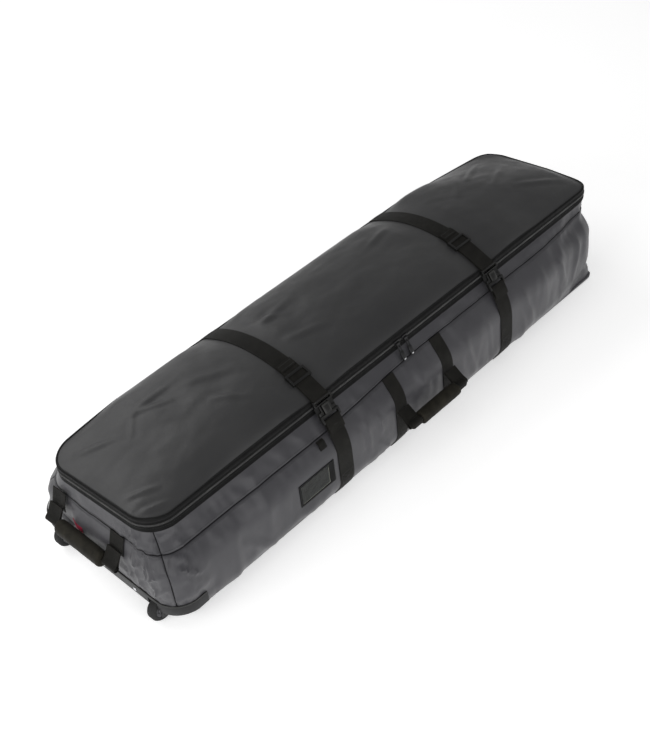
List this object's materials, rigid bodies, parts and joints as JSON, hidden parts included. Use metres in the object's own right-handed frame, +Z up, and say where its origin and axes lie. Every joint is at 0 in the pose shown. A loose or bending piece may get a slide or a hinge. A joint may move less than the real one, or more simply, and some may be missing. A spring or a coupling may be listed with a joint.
{
  "type": "wheeled snowboard bag",
  "caption": "Long padded wheeled snowboard bag with a full-length zip lid, buckled compression straps, grab handles, a card window and a moulded wheel tray.",
  "frame": {"origin": "on the floor under the middle of the zip outline, with the bag lying on its base", "axes": "+X towards the head end, -X towards the wheels, -Y the front with the carry handle and zip sliders, +Y the rear with the lid hinge, +Z up"},
  "size_m": [1.6794, 0.5625, 0.3356],
  "materials": {
    "shell_cloth": "coated woven polyester, soft sheen",
    "foam": "closed-cell foam",
    "lining": "plain woven lining",
    "board": "polyethylene sheet",
    "tray_plastic": "moulded, fine grain",
    "tyre": "urethane, satin",
    "hub": "moulded nylon",
    "steel": "zinc plated",
    "zip_tape": "woven tape",
    "zip_coil": "nylon coil",
    "zip_metal": "black lacquer, worn at edges",
    "webbing": "ribbed polypropylene webbing",
    "buckle_plastic": "moulded acetal",
    "grip_cloth": "padded, ribbed",
    "window_border": "bound edge",
    "card": "plain card",
    "pane": "clear vinyl"
  },
  "bodies": {
    "base": {"front_wall": "shell_cloth", "rear_wall": "shell_cloth", "wheel_end_wall": "shell_cloth", "head_end_wall": "shell_cloth", "front_gusset": "shell_cloth", "rear_gusset": "shell_cloth", "wheel_end_gusset": "shell_cloth", "head_end_gusset": "shell_cloth", "rear_hinge_tape": "shell_cloth", "base_panel": "shell_cloth", "base_foam": "foam", "wall_foam": "foam", "base_lining": "lining", "base_board": "board", "wheel_tray": "tray_plastic", "wheel_axles": "steel", "tray_rivets": "steel", "lower_zip_tape": "zip_tape", "lower_zip_coil": "zip_coil", "zip_end_stops": "zip_metal", "carry_webbings": "webbing", "handle_anchors": "webbing", "wheel_strap_wall_webbing": "webbing", "head_strap_wall_webbing": "webbing", "wheel_strap_female_buckle": "buckle_plastic", "head_strap_female_buckle": "buckle_plastic", "card_window_frame": "window_border", "card": "card", "card_window_pane": "pane"},
    "lid": {"lid_panel": "shell_cloth", "lid_foam": "foam", "lid_lining": "lining", "upper_zip_tape": "zip_tape", "upper_zip_coil": "zip_coil", "wheel_strap_lid_webbing": "webbing", "wheel_strap_male_buckle": "buckle_plastic", "head_strap_lid_webbing": "webbing", "head_strap_male_buckle": "buckle_plastic"},
    "left_zip_slider": {"left_zip_slider": "zip_metal"},
    "left_zip_pull": {"left_zip_pull": "zip_metal"},
    "right_zip_slider": {"right_zip_slider": "zip_metal"},
    "right_zip_pull": {"right_zip_pull": "zip_metal"},
    "carry_handle": {"carry_handle": "webbing", "carry_grip": "grip_cloth"},
    "wheel_end_handle": {"wheel_end_handle": "webbing", "wheel_end_grip": "grip_cloth"},
    "head_end_handle": {"head_end_handle": "webbing"},
    "front_wheel": {"front_wheel_tyre": "tyre", "front_wheel_hub": "hub", "front_wheel_bearings": "steel"},
    "rear_wheel": {"rear_wheel_tyre": "tyre", "rear_wheel_hub": "hub", "rear_wheel_bearings": "steel"},
    "wheel_left_latch": {"wheel_strap_left_latch": "buckle_plastic"},
    "wheel_right_latch": {"wheel_strap_right_latch": "buckle_plastic"},
    "wheel_triglide": {"wheel_strap_triglide": "buckle_plastic"},
    "head_left_latch": {"head_strap_left_latch": "buckle_plastic"},
    "head_right_latch": {"head_strap_right_latch": "buckle_plastic"},
    "head_triglide": {"head_strap_triglide": "buckle_plastic"}
  },
  "joints": [
    {"name": "lid_open", "type": "hinge", "parent": "base", "child": "lid", "pos_m": [0, 0.1906, 0.265], "axis": [-1, 0, 0], "range_deg": [0, 170]},
    {"name": "left_slider_run", "type": "slide", "parent": "base", "child": "left_zip_slider", "axis": [-1, 0, 0], "range_m": [0, 0.688]},
    {"name": "left_pull_swing", "type": "hinge", "parent": "left_zip_slider", "child": "left_zip_pull", "pos_m": [-0.014, -0.1922, 0.265], "axis": [-1, 0, 0], "range_deg": [0, 140]},
    {"name": "right_slider_run", "type": "slide", "parent": "base", "child": "right_zip_slider", "axis": [1, 0, 0], "range_m": [0, 0.688]},
    {"name": "right_pull_swing", "type": "hinge", "parent": "right_zip_slider", "child": "right_zip_pull", "pos_m": [0.014, -0.1922, 0.265], "axis": [-1, 0, 0], "range_deg": [0, 140]},
    {"name": "carry_handle_lift", "type": "hinge", "parent": "base", "child": "carry_handle", "pos_m": [0.0075, -0.255, 0.14], "axis": [-1, 0, 0], "range_deg": [0, 115]},
    {"name": "wheel_end_handle_lift", "type": "hinge", "parent": "base", "child": "wheel_end_handle", "pos_m": [-0.817, 0.024, 0.176], "axis": [0, 1, 0], "range_deg": [0, 125]},
    {"name": "head_end_handle_lift", "type": "hinge", "parent": "base", "child": "head_end_handle", "pos_m": [0.795, 0, 0.176], "axis": [0, -1, 0], "range_deg": [0, 125]},
    {"name": "front_wheel_spin", "type": "hinge", "parent": "base", "child": "front_wheel", "pos_m": [-0.8, -0.17, 0.033], "axis": [0, 1, 0], "continuous": true},
    {"name": "rear_wheel_spin", "type": "hinge", "parent": "base", "child": "rear_wheel", "pos_m": [-0.8, 0.17, 0.033], "axis": [0, 1, 0], "continuous": true},
    {"name": "wheel_left_latch_squeeze", "type": "hinge", "parent": "lid", "child": "wheel_left_latch", "pos_m": [-0.29225, -0.19937, 0.27259], "axis": [0, -0.8412, 0.5407], "range_deg": [0, 8], "stiffness_Nm_per_rad": 0.05},
    {"name": "wheel_right_latch_squeeze", "type": "hinge", "parent": "lid", "child": "wheel_right_latch", "pos_m": [-0.26375, -0.19937, 0.27259], "axis": [0, 0.8412, -0.5407], "range_deg": [0, 8], "stiffness_Nm_per_rad": 0.05},
    {"name": "wheel_triglide_slide", "type": "hinge", "parent": "lid", "child": "wheel_triglide", "pos_m": [-0.278, 0, -0.02565], "axis": [1, 0, 0], "range_deg": [-5, 3.5]},
    {"name": "head_left_latch_squeeze", "type": "hinge", "parent": "lid", "child": "head_left_latch", "pos_m": [0.31575, -0.19937, 0.27259], "axis": [0, -0.8412, 0.5407], "range_deg": [0, 8], "stiffness_Nm_per_rad": 0.05},
    {"name": "head_right_latch_squeeze", "type": "hinge", "parent": "lid", "child": "head_right_latch", "pos_m": [0.34425, -0.19937, 0.27259], "axis": [0, 0.8412, -0.5407], "range_deg": [0, 8], "stiffness_Nm_per_rad": 0.05},
    {"name": "head_triglide_slide", "type": "hinge", "parent": "lid", "child": "head_triglide", "pos_m": [0.33, 0, -0.02565], "axis": [1, 0, 0], "range_deg": [-8.63, 6.36]}
  ],
  "couplings": [
    {"joint": "wheel_right_latch_squeeze", "follows": "wheel_left_latch_squeeze", "ratio": 1},
    {"joint": "head_right_latch_squeeze", "follows": "head_left_latch_squeeze", "ratio": 1}
  ]
}
